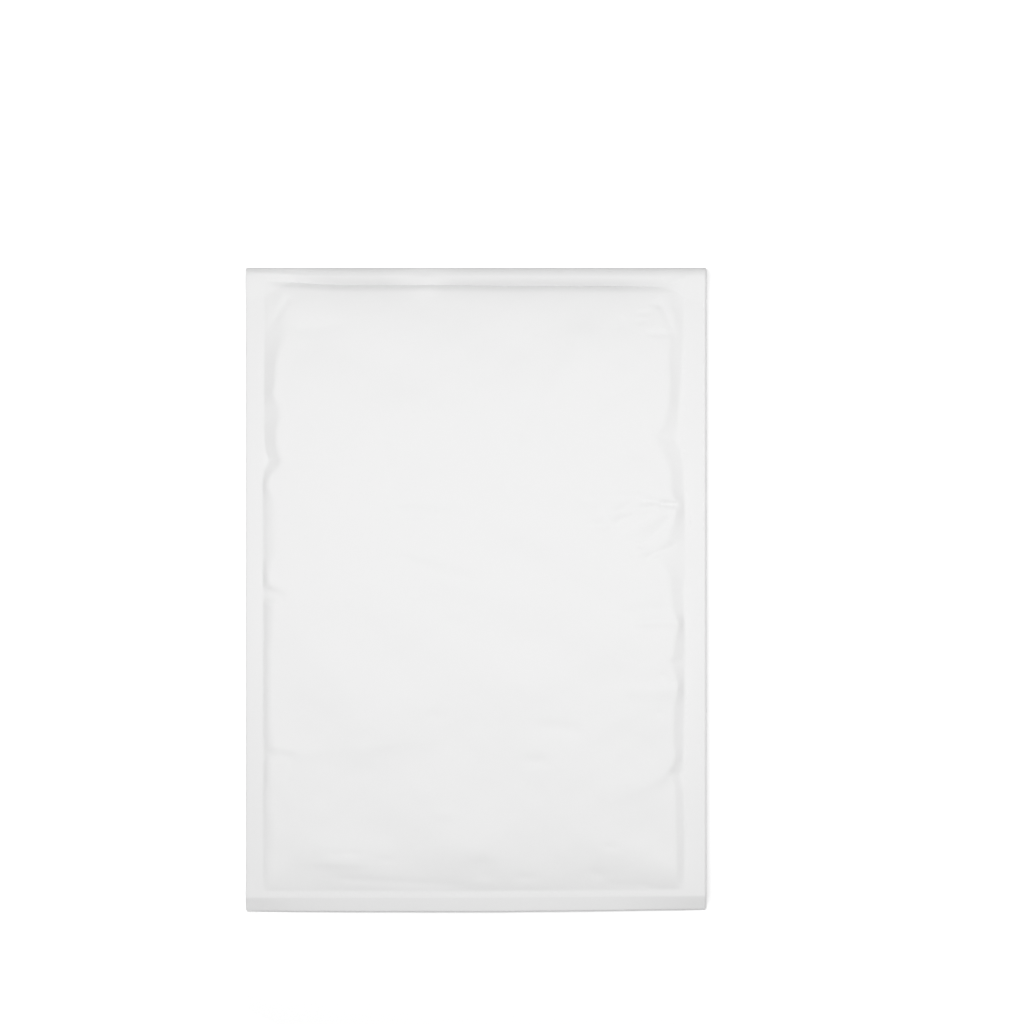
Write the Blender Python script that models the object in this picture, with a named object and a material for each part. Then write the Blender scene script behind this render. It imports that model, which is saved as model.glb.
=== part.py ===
"""A padded paper mailer lying on its back, address side up, with its flap folded under.

One paper sheet makes the whole outside: flap, flap fold, front panel, bottom fold and back panel.
A bubble-film bag lines it, with its side flanges sealed between the two panels.
X runs across the mailer, Y from the bottom fold to the flap fold, and Z up from what it lies on.
The origin is the middle of the footprint, on the lowest face of the back panel.
"""

import math
from typing import NamedTuple

import bmesh
import bpy
import numpy as np

# The paper sheet, in metres
WIDTH = 0.250
LENGTH = 0.350
PAPER = 0.00013
FLAP_DEPTH = 0.037
FLAP_TAPER = 0.017
FLAP_CORNER = 0.015
FLAP_RAMP = 0.014
MOUTH_STEP = 0.005

# The flat seams round the padding
LEFT_SEAM = 0.0094
RIGHT_SEAM = 0.0128
BOTTOM_STRIP = 0.008
BOTTOM_BAND = 0.0118
TOP_BAND = 0.0095
SEAM_LIFT = 0.0024
STRIP_DROOP = 0.0019

# The padding, and how far it takes to rise from each seam
THICKNESS = 0.0074
SIDE_RISE = 0.012
TOP_RISE = 0.010
BOTTOM_RISE = 0.018
FOLD_ROLL = 0.0012
FOLD_ROLL_AT = 0.0054
FOLD_ROLL_SPREAD = 0.0024
MOUTH_SAG = 0.030

# The lining
FLANGE = 0.00015
FLANGE_SETBACK = 0.0005
LINING_TOP = 0.012
POCKET_GAP = 0.0008

# The strips of the closure, hidden under the flap
ADHESIVE = 0.00005
ADHESIVE_WIDTH = 0.0145
LINER = 0.00007
LINER_WIDTH = 0.0185
LINER_FROM_FOLD = 0.0015
TAPE = 0.00005
TAPE_WIDTH = 0.021
TAPE_FROM_MOUTH = 0.007
STRIP_SETBACK = 0.0005

# Clearances between faces that lie on each other
SEAL_GAP = 0.00015
FILM_GAP = 0.00005
REST_GAP = 0.0003


class Notch(NamedTuple):
    """A place where a side crease runs inward: height above the bottom fold, reach and half length."""

    along: float
    reach: float
    spread: float


LEFT_NOTCHES = (
    Notch(0.3225, 0.0040, 0.0080),
    Notch(0.2808, 0.0024, 0.0070),
    Notch(0.2440, 0.0048, 0.0085),
    Notch(0.1745, 0.0032, 0.0070),
    Notch(0.0882, 0.0056, 0.0080),
    Notch(0.0330, 0.0022, 0.0090),
)
RIGHT_NOTCHES = (
    Notch(0.3180, 0.0050, 0.0110),
    Notch(0.2585, 0.0088, 0.0120),
    Notch(0.2226, 0.0056, 0.0075),
    Notch(0.1920, 0.0030, 0.0080),
    Notch(0.1265, 0.0034, 0.0070),
    Notch(0.0745, 0.0040, 0.0080),
)

# Grid counts
SEAM_CELLS = 2
EDGE_CELLS = 8
MIDDLE_CELLS = 5
FOLD_CELLS = 8
FRONT_PITCH = 0.0044
BACK_PITCH = 0.045

# Places that follow from the sizes above
HALF_WIDTH = WIDTH / 2
TOP_Y = LENGTH / 2 - PAPER / 2
BOTTOM_Y = -LENGTH / 2 + PAPER / 2
MOUTH_Y = LENGTH / 2 - MOUTH_STEP
SEAL = FLANGE + 2 * SEAL_GAP + PAPER
FLAP_STACK = PAPER + ADHESIVE + LINER + TAPE + 3 * FILM_GAP + REST_GAP
BACK_LIFT = FLAP_STACK + PAPER / 2
TOP_PLANE = BACK_LIFT + SEAL / 2
BOTTOM_PLANE = SEAM_LIFT - STRIP_DROOP
CROWN = THICKNESS - PAPER / 2
FLAP_FOLD_RADIUS = (TOP_PLANE + SEAL / 2 - PAPER / 2) / 2
BOTTOM_FOLD_RADIUS = SEAL / 2
LONGEST_NOTCH = max(notch.reach for notch in LEFT_NOTCHES + RIGHT_NOTCHES)


def level_step(t):
    """Smooth step: 0 below t = 0, 1 above t = 1, level at both ends."""
    t = np.clip(t, 0, 1)
    return t * t * (3 - 2 * t)


def cushion(t):
    """The rise of padding beside a seam: steep at the seam and level where t reaches 1."""
    t = np.clip(t, 0, 1)
    return 1 - (1 - t) ** 2


def crease(y, seam, notches):
    """Distance from the side edge to the foot of the padding, at each y: each notch is a bell in it."""
    along = y + LENGTH / 2
    inward = sum(n.reach * np.exp(-(((along - n.along) / n.spread) ** 2)) for n in notches)
    return seam + inward


def padding(x, y, left_notches=(), right_notches=()):
    """Share of the full padding height at x, y: the product of its rises from the four seams."""
    from_left = x + HALF_WIDTH - crease(y, LEFT_SEAM, left_notches)
    from_right = HALF_WIDTH - x - crease(y, RIGHT_SEAM, right_notches)
    from_top = LENGTH / 2 - TOP_BAND - y
    from_bottom = y + LENGTH / 2 - BOTTOM_BAND
    sides = cushion(from_left / SIDE_RISE) * cushion(from_right / SIDE_RISE)
    return sides * cushion(from_top / TOP_RISE) * cushion(from_bottom / BOTTOM_RISE)


def seam_plane(y):
    """Height of the middle of the seams: it dips to the flap fold, and down the strip at the bottom."""
    sag = 1 - level_step((LENGTH / 2 - y) / MOUTH_SAG)
    droop = 1 - np.clip((y + LENGTH / 2) / BOTTOM_STRIP, 0, 1)
    return SEAM_LIFT - (SEAM_LIFT - TOP_PLANE) * sag - (SEAM_LIFT - BOTTOM_PLANE) * droop


def front_height(x, y):
    """Height of the front panel's middle surface, with the soft roll that follows the flap fold."""
    foot = seam_plane(y) + SEAL / 2
    across = cushion((x + HALF_WIDTH) / LEFT_SEAM - 1) * cushion((HALF_WIDTH - x) / RIGHT_SEAM - 1)
    roll = FOLD_ROLL * across * np.exp(-(((LENGTH / 2 - FOLD_ROLL_AT - y) / FOLD_ROLL_SPREAD) ** 2))
    return foot + padding(x, y, LEFT_NOTCHES, RIGHT_NOTCHES) * (CROWN - foot) + roll


def back_height(x, y):
    """Height of the back panel's middle surface: flat on the ground, and lifted over the flap."""
    ramp_foot = LENGTH / 2 - FLAP_DEPTH - FLAP_RAMP
    ground = PAPER / 2 + FLAP_STACK * level_step((y - ramp_foot) / FLAP_RAMP)
    return ground + (1 - padding(x, y)) * (seam_plane(y) - SEAL / 2 - ground)


def stretch(start, end, pitch):
    """Even stations from start to end, about one pitch apart."""
    return np.linspace(start, end, max(2, round(abs(end - start) / pitch) + 1))


def joined(*stretches):
    """Stations of several stretches in a row, each shared end kept once."""
    return np.concatenate([stretches[0]] + [s[1:] for s in stretches[1:]])


def column_stations():
    """Stations across the mailer, close together over the seams and the rise beside them."""
    reach = SIDE_RISE + LONGEST_NOTCH
    closing_up = (np.linspace(0, 1, EDGE_CELLS + 1) ** 1.5) * reach
    left = np.linspace(0, LEFT_SEAM, SEAM_CELLS + 1) - HALF_WIDTH
    right = HALF_WIDTH - np.linspace(RIGHT_SEAM, 0, SEAM_CELLS + 1)
    left_rise = left[-1] + closing_up
    right_rise = right[0] - closing_up[::-1]
    middle = np.linspace(left_rise[-1], right_rise[0], MIDDLE_CELLS + 1)
    return joined(left, left_rise, middle, right_rise, right)


def front_stations():
    """Stations down the front panel, from the flap fold to the bottom fold."""
    top = TOP_Y - FLAP_FOLD_RADIUS
    roll = LENGTH / 2 - FOLD_ROLL_AT
    band = LENGTH / 2 - TOP_BAND
    lining = LENGTH / 2 - LINING_TOP
    crown = band - TOP_RISE
    foot = -LENGTH / 2 + BOTTOM_BAND
    strip = -LENGTH / 2 + BOTTOM_STRIP
    bottom = BOTTOM_Y + BOTTOM_FOLD_RADIUS
    return joined(
        stretch(top, roll, 0.0010),
        stretch(roll, band, 0.0010),
        stretch(band, lining, 0.0009),
        stretch(lining, crown, 0.0015),
        stretch(crown, foot + BOTTOM_RISE, FRONT_PITCH),
        stretch(foot + BOTTOM_RISE, foot, 0.0026),
        stretch(foot, strip, 0.0038),
        stretch(strip, bottom, 0.0038),
    )


def back_stations():
    """Stations up the back panel, from the bottom fold to its cut edge at the mouth."""
    bottom = BOTTOM_Y + BOTTOM_FOLD_RADIUS
    strip = -LENGTH / 2 + BOTTOM_STRIP
    foot = -LENGTH / 2 + BOTTOM_BAND
    level = foot + BOTTOM_RISE
    flap_tip = LENGTH / 2 - FLAP_DEPTH
    tape_near = MOUTH_Y - TAPE_FROM_MOUTH
    tape_far = tape_near - TAPE_WIDTH
    return joined(
        stretch(bottom, strip, 0.0075),
        stretch(strip, foot, 0.0038),
        stretch(foot, level, 0.003),
        stretch(level, flap_tip - FLAP_RAMP, BACK_PITCH),
        stretch(flap_tip - FLAP_RAMP, flap_tip, 0.0035),
        stretch(flap_tip, tape_far, 0.004),
        stretch(tape_far, tape_near, 0.003),
        stretch(tape_near, MOUTH_Y, 0.0018),
    )


def half_turn(centre_y, centre_z, radius, start, end):
    """Y and Z of the inner points of a half circle in the YZ plane, between two angles in degrees."""
    angles = np.radians(np.linspace(start, end, FOLD_CELLS + 1))[1:-1]
    return centre_y + radius * np.cos(angles), centre_z + radius * np.sin(angles)


def sheet_grid():
    """The sheet's middle surface as rows of points, from the flap's tip round to the mouth edge."""
    columns = column_stations()
    rows = []

    flap_tip = LENGTH / 2 - FLAP_DEPTH
    taper_end = flap_tip + FLAP_TAPER
    flap_end = TOP_Y - FLAP_FOLD_RADIUS
    for y in joined(stretch(flap_tip, taper_end, 0.009), stretch(taper_end, flap_end, 0.02)):
        cut = FLAP_CORNER * (1 - min(1, (y - flap_tip) / FLAP_TAPER))
        x = columns * (HALF_WIDTH - cut) / HALF_WIDTH
        rows.append((x, np.full_like(x, y), np.full_like(x, PAPER / 2)))

    for y, z in zip(*half_turn(flap_end, PAPER / 2 + FLAP_FOLD_RADIUS, FLAP_FOLD_RADIUS, -90, 90)):
        rows.append((columns, np.full_like(columns, y), np.full_like(columns, z)))

    for y in front_stations():
        rows.append((columns, np.full_like(columns, y), front_height(columns, y)))

    fold_y = BOTTOM_Y + BOTTOM_FOLD_RADIUS
    for y, z in zip(*half_turn(fold_y, seam_plane(fold_y), BOTTOM_FOLD_RADIUS, 90, 270)):
        rows.append((columns, np.full_like(columns, y), np.full_like(columns, z)))

    for y in back_stations():
        rows.append((columns, np.full_like(columns, y), back_height(columns, y)))
    return np.array([np.stack(row, axis=1) for row in rows])


def grid_triangles(rows, columns, closed=False):
    """Two triangles for each cell of a grid numbered row by row, all cut along the same diagonal."""
    cells = columns if closed else columns - 1
    faces = []
    for i in range(rows - 1):
        for j in range(cells):
            a = i * columns + j
            b = i * columns + (j + 1) % columns
            c, d = b + columns, a + columns
            faces += [(a, b, c), (a, c, d)]
    return faces


def principled(name, colour, roughness, alpha=1.0):
    """A Principled material with the colour, roughness and cover of one finish."""
    material = bpy.data.materials.new(name)
    material.use_nodes = True
    shader = material.node_tree.nodes["Principled BSDF"]
    shader.inputs["Base Color"].default_value = (*colour, 1)
    shader.inputs["Roughness"].default_value = roughness
    shader.inputs["Metallic"].default_value = 0
    shader.inputs["Alpha"].default_value = alpha
    return material


def add_object(name, points, faces, material):
    """A mesh object of the given points and faces, with its faces turned outwards, shaded smooth."""
    mesh = bpy.data.meshes.new(name)
    mesh.from_pydata([tuple(point) for point in points], [], faces)
    edit = bmesh.new()
    edit.from_mesh(mesh)
    bmesh.ops.recalc_face_normals(edit, faces=edit.faces)
    edit.to_mesh(mesh)
    edit.free()
    mesh.materials.append(material)
    mesh.shade_smooth()
    mesh.set_sharp_from_angle(angle=math.radians(35))
    made = bpy.data.objects.new(name, mesh)
    bpy.context.scene.collection.objects.link(made)
    return made


def add_sheet(name, grid, thickness, material):
    """A sheet of even thickness about a grid of middle-surface points."""
    rows, columns = grid.shape[:2]
    made = add_object(name, grid.reshape(-1, 3), grid_triangles(rows, columns), material)
    wall = made.modifiers.new("sheet thickness", "SOLIDIFY")
    wall.thickness = thickness
    wall.offset = 0
    wall.use_even_offset = True
    wall.use_quality_normals = True
    return made


def paper_envelope(material):
    """The folded sheet."""
    return add_sheet("paper_envelope", sheet_grid(), PAPER, material)


def lining_ring(columns, y):
    """One turn of the lining's outer skin at y: over the front from left to right, and back beneath."""
    reach = HALF_WIDTH - FLANGE_SETBACK
    x = np.clip(columns, -reach, reach)
    over = front_height(columns, y) - PAPER / 2 - SEAL_GAP
    under = back_height(columns, y) + PAPER / 2 + SEAL_GAP
    top = np.stack((x, np.full_like(x, y), over), axis=1)
    base = np.stack((x, np.full_like(x, y), under), axis=1)
    return np.concatenate((top, base[::-1]))


def pocket_ring(columns, y):
    """One turn of the pocket's wall at y: a flat slot halfway between the lining's two skins."""
    inset = LONGEST_NOTCH + SIDE_RISE / 2
    left = LEFT_SEAM + inset - HALF_WIDTH
    right = HALF_WIDTH - RIGHT_SEAM - inset
    x = left + (columns - columns[0]) / WIDTH * (right - left)
    middle = (front_height(0, y) + back_height(0, y)) / 2
    top = np.stack((x, np.full_like(x, y), np.full_like(x, middle + POCKET_GAP / 2)), axis=1)
    base = np.stack((x, np.full_like(x, y), np.full_like(x, middle - POCKET_GAP / 2)), axis=1)
    return np.concatenate((top, base[::-1]))


def slot_cap(first, columns, reverse):
    """Triangles that close a ring of two facing rows of points, numbered from first."""
    faces = []
    last = first + 2 * columns - 1
    for j in range(columns - 1):
        a, b, c, d = first + j, first + j + 1, last - j - 1, last - j
        faces += [(a, c, b), (a, d, c)] if reverse else [(a, b, c), (a, c, d)]
    return faces


def bubble_lining(material):
    """The film bag: an outer skin inside the paper, and a pocket open at the mouth."""
    columns = column_stations()
    mouth = LENGTH / 2 - LINING_TOP
    foot = -LENGTH / 2 + BOTTOM_BAND
    outer_rows = [y for y in front_stations() if foot - PAPER < y < mouth + PAPER]
    pocket_end = foot + BOTTOM_RISE
    crown = LENGTH / 2 - TOP_BAND - TOP_RISE
    flap_ramp = LENGTH / 2 - FLAP_DEPTH - FLAP_RAMP
    pocket_rows = joined(
        stretch(mouth, crown, 0.004),
        stretch(crown, flap_ramp, 0.014),
        stretch(flap_ramp, pocket_end, LENGTH),
    )
    rings = [pocket_ring(columns, y) for y in reversed(pocket_rows)]
    rings += [lining_ring(columns, y) for y in outer_rows]
    size = 2 * len(columns)
    points = np.concatenate(rings)
    faces = grid_triangles(len(rings), size, closed=True)
    faces += slot_cap(0, len(columns), reverse=True)
    faces += slot_cap((len(rings) - 1) * size, len(columns), reverse=False)
    return add_object("bubble_lining", points, faces, material)


def flat_strip(name, near, far, level, thickness, material):
    """A straight strip across the flap, between two distances from the fold, at one level."""
    reach = HALF_WIDTH - STRIP_SETBACK
    x = np.array([-reach, reach])
    rows = [(x, np.full(2, LENGTH / 2 - run), np.full(2, level)) for run in (far, near)]
    grid = np.array([np.stack(row, axis=1) for row in rows])
    return add_sheet(name, grid, thickness, material)


def flap_adhesive(material):
    """The glue band on the flap's inner face, centred under its liner."""
    near = LINER_FROM_FOLD + (LINER_WIDTH - ADHESIVE_WIDTH) / 2
    level = PAPER + FILM_GAP + ADHESIVE / 2
    return flat_strip("flap_adhesive", near, near + ADHESIVE_WIDTH, level, ADHESIVE, material)


def release_liner(material):
    """The peel-off strip over the glue band."""
    level = PAPER + ADHESIVE + 2 * FILM_GAP + LINER / 2
    far = LINER_FROM_FOLD + LINER_WIDTH
    return flat_strip("release_liner", LINER_FROM_FOLD, far, level, LINER, material)


def reopen_tape(material):
    """The clear film strip across the back panel, just under the mouth: it follows the panel."""
    reach = HALF_WIDTH - STRIP_SETBACK
    x = np.clip(column_stations(), -reach, reach)
    near = MOUTH_Y - TAPE_FROM_MOUTH
    far = near - TAPE_WIDTH
    drop = PAPER / 2 + FILM_GAP + TAPE / 2
    rows = [y for y in back_stations() if far - TAPE < y < near + TAPE]
    grid = [np.stack((x, np.full_like(x, y), back_height(x, y) - drop), axis=1) for y in rows]
    return add_sheet("reopen_tape", np.array(grid), TAPE, material)


def build():
    """Clear the scene and make every piece."""
    for old in list(bpy.data.objects):
        bpy.data.objects.remove(old, do_unlink=True)
    paper_envelope(principled("white kraft paper", (0.86, 0.86, 0.86), 0.62))
    bubble_lining(principled("bubble film", (0.88, 0.90, 0.91), 0.25, 0.55))
    flap_adhesive(principled("hot melt glue", (0.86, 0.82, 0.70), 0.35))
    release_liner(principled("silicone paper", (0.84, 0.86, 0.88), 0.3))
    reopen_tape(principled("clear tape", (0.93, 0.94, 0.95), 0.12, 0.35))


build()
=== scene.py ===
"""A padded paper mailer lying on its back: folded sheet, bubble-film lining and closure strips.

X runs across the mailer, Y from the bottom fold to the flap fold, Z up out of the address side.
"""

import math
from typing import NamedTuple

import bpy
import numpy as np
from bpy.props import FloatProperty, FloatVectorProperty, PointerProperty
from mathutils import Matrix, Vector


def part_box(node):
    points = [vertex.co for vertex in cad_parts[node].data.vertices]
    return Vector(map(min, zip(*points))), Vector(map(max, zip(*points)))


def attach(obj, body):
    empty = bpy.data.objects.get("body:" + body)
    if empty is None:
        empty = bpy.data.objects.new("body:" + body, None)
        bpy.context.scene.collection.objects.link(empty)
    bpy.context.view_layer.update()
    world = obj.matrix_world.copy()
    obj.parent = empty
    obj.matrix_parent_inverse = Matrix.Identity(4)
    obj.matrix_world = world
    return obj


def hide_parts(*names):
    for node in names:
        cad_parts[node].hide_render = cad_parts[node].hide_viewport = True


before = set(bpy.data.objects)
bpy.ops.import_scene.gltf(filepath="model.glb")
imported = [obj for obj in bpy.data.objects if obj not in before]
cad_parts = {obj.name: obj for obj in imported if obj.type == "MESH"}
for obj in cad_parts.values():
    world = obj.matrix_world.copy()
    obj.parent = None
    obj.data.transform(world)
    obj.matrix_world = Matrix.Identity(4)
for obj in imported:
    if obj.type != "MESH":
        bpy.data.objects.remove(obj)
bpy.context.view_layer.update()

bl_info = {
    "name": "Bubble mailer",
    "version": (1, 0, 0),
    "blender": (4, 5, 0),
    "location": "View3D > Sidebar > Mailer",
    "description": "Makes a padded paper mailer with its lining and its closure strips",
    "category": "Object",
}

SHEET_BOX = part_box("paper_envelope")
MM = 0.001

# The folds, the flat seams and the rounded corners, in metres
FLAP_TAPER = 0.017
FLAP_CORNER = 0.015
FLAP_RAMP = 0.014
MOUTH_STEP = 0.005
BOTTOM_STRIP = 0.008
BOTTOM_BAND = 0.0118
TOP_BAND = 0.0100
FOLD_ROUND = 0.0046
BOTTOM_CORNER = 0.0026
TOP_CORNER = 0.0016
CORNER_START = 0.35
CORNER_SPREAD = 1.5

# The padding: how far its height takes to rise from the seams, and the room left for its wrinkles
SIDE_RISE = 0.012
BOTTOM_RISE = 0.027
PADDING_REACH = 0.065
RIGHT_EASE = 0.0018
RIGHT_FOOT_OUT = 0.0005
LEFT_FAR_SHARE = 0.35
RIGHT_FAR_SHARE = 0.08
SOFT_BELOW = 0.235
SOFT_FADE = 0.012
BOTTOM_POWER = 2.2
RELIEF_ROOM = 0.0003

# Slopes at the sides: how far each runs past its rim, and the shares of it rounded at foot and rim
LEFT_CRISP = (1.25, 0.08, 0.38)
LEFT_SOFT = (1.4, 0.06, 0.9)
RIGHT_SLOPE = (1.0, 0.08, 0.35)

# Share and reach of each part of the padding's rise from the crease at the flap fold
TOP_RISES = ((0.36, 0.0043), (0.16, 0.0172), (0.48, 0.065))

# How far the cut edges and the bottom fold bend down, and over what reach
LEFT_CURL = 0.0004
LEFT_BEND = 0.0003
RIGHT_ROWS = 0.0015
BOTTOM_CURL = 0.0010
BOTTOM_BEND = 0.0008
BOTTOM_FADE = 0.030
SKEW_REACH = 0.05

# The lining: its films, the flat edge that they keep inside the seams, and its bubbles
FLANGE = 0.00015
FLANGE_SETBACK = 0.0005
LINING_TOP = 0.012
FILM = 0.00006
FILM_PARTING = 0.0003
FILM_FROM_BAND = 0.0006
FILM_FLAT_SIDES = 0.010
FILM_FLAT_ENDS = 0.004
FILM_EASE = 0.02
FILM_FINE_EDGE = 0.016
BUBBLES_FROM_LEFT = 0.024
BUBBLES_FROM_EDGES = 0.026
BUBBLE_SPOKES = 12
BUBBLE_PROFILE = ((1.0, 0.0), (0.98, 0.45), (0.86, 0.82), (0.62, 0.97))
BUBBLE_ROOM = 0.00025
BUBBLE_TILT = 1.15
LOWEST_BUBBLE = 0.0008

# The strips of the closure, the mark on the back, the painted shade that greys the bottom strip, and
# the clearances between faces that lie on each other
ADHESIVE = 0.00005
ADHESIVE_WIDTH = 0.0145
LINER = 0.00007
LINER_WIDTH = 0.0185
LINER_FROM_FOLD = 0.0015
TAPE = 0.00005
TAPE_WIDTH = 0.021
TAPE_FROM_MOUTH = 0.007
STRIP_SETBACK = 0.0005
STRIP_MARGIN = 0.00005
MARK_WIDTH = 0.003
MARK_LENGTH = 0.0135
BOTTOM_STRIP_PAINTED_SHADE = 0.024
SEAL_GAP = 0.00015
FILM_GAP = 0.00005
REST_GAP = 0.0003

# Where the padding's slopes start and end, by the height above the bottom fold: distance from the
# side. From here down to the steps, tables are in millimetres.
LEFT_FOOT = (
    (0, 9.4), (60, 9.2), (83, 9.6), (100, 9.4), (172, 9.4), (232, 9.0), (240, 10.0), (245, 12.5),
    (251, 10.2), (262, 9.6), (350, 9.6),
)
LEFT_RIM = (
    (0, 13.6), (20, 13.6), (27, 14.2), (36, 15.0), (43, 15.2), (55, 13.6), (79, 13.4), (82, 14.2),
    (85, 16.0), (88, 15.4), (92, 14.6), (96, 14.2), (104, 13.4), (144, 13.3), (153, 14.3),
    (168, 14.5), (172, 20.4), (175, 17.5), (177, 12.8), (182, 12.2), (189, 13.2), (194, 15.3),
    (219, 15.3), (225, 14.2), (229, 12.6), (233, 12.2), (238, 13.8), (241, 17.9), (245, 19.7),
    (250, 17.9), (256, 16.7), (261, 16.7), (269, 18.5), (275, 17.5), (281, 15.0), (289, 16.1),
    (299, 16.8), (306, 18.5), (316, 21.8), (322, 21.5), (330, 19.0), (350, 17.5),
)
RIGHT_FOOT = (
    (0, 12.6), (43, 12.4), (67, 13.1), (74, 15.0), (79, 13.1), (113, 12.5), (145, 12.0),
    (157, 12.3), (175, 13.2), (186, 11.6), (221, 12.2), (243, 13.0), (252, 14.6), (257, 17.4),
    (262, 16.0), (275, 15.2), (288, 14.2), (311, 13.0), (350, 12.8),
)
RIGHT_RIM = (
    (0, 15.5), (23, 15.5), (43, 16.2), (67, 16.6), (73, 17.3), (75.5, 20.9), (79, 18.7),
    (85, 16.3), (91, 17.9), (103, 17.9), (113, 17.3), (118, 15.2), (123, 14.6), (129, 16.7),
    (133, 18.5), (136, 20.9), (139, 17.9), (145, 17.3), (152, 15.6), (157, 14.2), (164, 17.9),
    (170, 18.9), (182, 20.1), (192, 26.0), (195, 26.5), (203, 21.4), (211, 18.3), (217, 15.9),
    (221, 15.8), (224, 17.1), (230, 19.5), (238, 19.5), (247, 22.6), (253, 26.3), (259, 29.0),
    (264, 23.8), (269, 22.6), (278, 20.1), (288, 19.5), (301, 20.8), (311, 20.4), (318, 18.4),
    (325, 17.8), (335, 20), (350, 21),
)

# Reach and depth of the bend along the right cut edge, and how far the left seam leans out and down,
# by the height above the bottom fold
RIGHT_CURL = ((0, 1.5), (150, 1.5), (200, 1.2), (350, 1.2))
RIGHT_BEND = ((0, 1.2), (150, 1.2), (200, 1.5), (350, 1.5))
LEFT_LEAN = ((0, 0.4), (20, 1.0), (100, 1.2), (150, 0.9), (200, 0.8), (290, 0.8), (350, 0.4))

# Height of the seams' middle, and of the bottom fold's, by the place across
SEAM_LIFT = ((-125, 3.1), (-113, 3.1), (-98, 2.3), (75, 2.3), (112, 3.8), (125, 3.8))
BOTTOM_PLANE = (
    (-125, 0.6), (-112, 1.0), (-96, 1.6), (-69, 2.1), (-14, 2.3), (40, 2.5), (83, 2.0), (110, 1.8),
    (125, 1.0),
)

# Reach of the padding's rise from the bottom seam, by the place across
BOTTOM_REACH = ((-125, 13), (-109, 14), (-92, 27), (85, 27), (103, 15), (125, 13))

# How much higher the seams stand beside the bottom fold, by the place across
BOTTOM_LIFT = ((-125, 0.1), (-112, 0.4), (-96, 0.8), (110, 0.8), (125, 0.4))

# The flap fold by the place across: reach of its round edge, then the soft roll beside it: where its
# crest lies, where it ends, where the padding begins, and its height at the seams and at the front alone
FOLD_REACH = ((-125, 5.0), (-112, 5.0), (-99, 4.6), (97, 4.6), (112, 5.0), (125, 5.0))
ROLL_CREST = ((-125, 4.5), (-99, 4.2), (-69, 4.5), (-40, 4.6), (-12, 4.8), (54, 4.8), (97, 5.2), (125, 4.6))
ROLL_END = (
    (-125, 18), (-112, 14), (-104, 9.0), (-99, 8.0), (-88, 8.6), (-77, 9.3), (-12, 9.5), (10, 9.7),
    (54, 9.9), (97, 10.2), (106, 12), (114, 16), (125, 18),
)
PADDING_TOP = (
    (-125, 7.6), (-99, 8.0), (-88, 8.6), (-77, 9.3), (-12, 9.5), (10, 9.7), (54, 9.9), (97, 10.2),
)
SEAM_ROLL = ((-125, 1.2), (-112, 1.1), (-104, 0.5), (-99, 0), (97, 0), (106, 0.6), (114, 1.1), (125, 1.1))
ROLL_HEIGHT = (
    (-125, 0), (-112, 0), (-104, 0.5), (-99, 1.1), (-77, 2.0), (-50, 2.1), (-34, 1.3), (-28, 0.6),
    (-22, 1.1), (-12, 1.8), (10, 2.1), (35, 2.1), (54, 2.0), (75, 2.1), (97, 1.8), (106, 0.6), (114, 0.1),
    (125, 0),
)

# How much faster than evenly the roll falls to its end
ROLL_POWER = 1.6

# Thousandths of painted shade that darkens the paper's colour in the crease beside the roll, and, in metres,
# how it fades
CREASE_PAINTED_SHADE = (
    (-112, 0), (-104, 18), (-99, 32), (-91, 65), (-77, 125), (-50, 140), (-34, 80), (-28, 50),
    (-22, 75), (-12, 130), (10, 150), (54, 150), (75, 135), (97, 75), (106, 30), (112, 0),
)
CREASE_ABOVE = 0.0040
CREASE_BELOW = 0.0018
CREASE_FAR = 0.0060
CREASE_FAR_SHARE = 0.28

# How far the bottom fold stands in from a square one, by its place across
BOTTOM_SKEW = ((-125, 0.0), (10, 0.0), (32, 0.3), (65, 0.5), (97, 0.9), (125, 1.1))

ROOT = "root"


class Wrinkle(NamedTuple):
    """A ridge, or a groove where height is below 0, between two points of the front, in millimetres."""

    x1: float
    y1: float
    x2: float
    y2: float
    height: float
    width: float


class Step(NamedTuple):
    """A drop on the left of the line from one point to another, which fades out over a reach."""

    x1: float
    y1: float
    x2: float
    y2: float
    drop: float
    width: float
    reach: float


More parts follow.
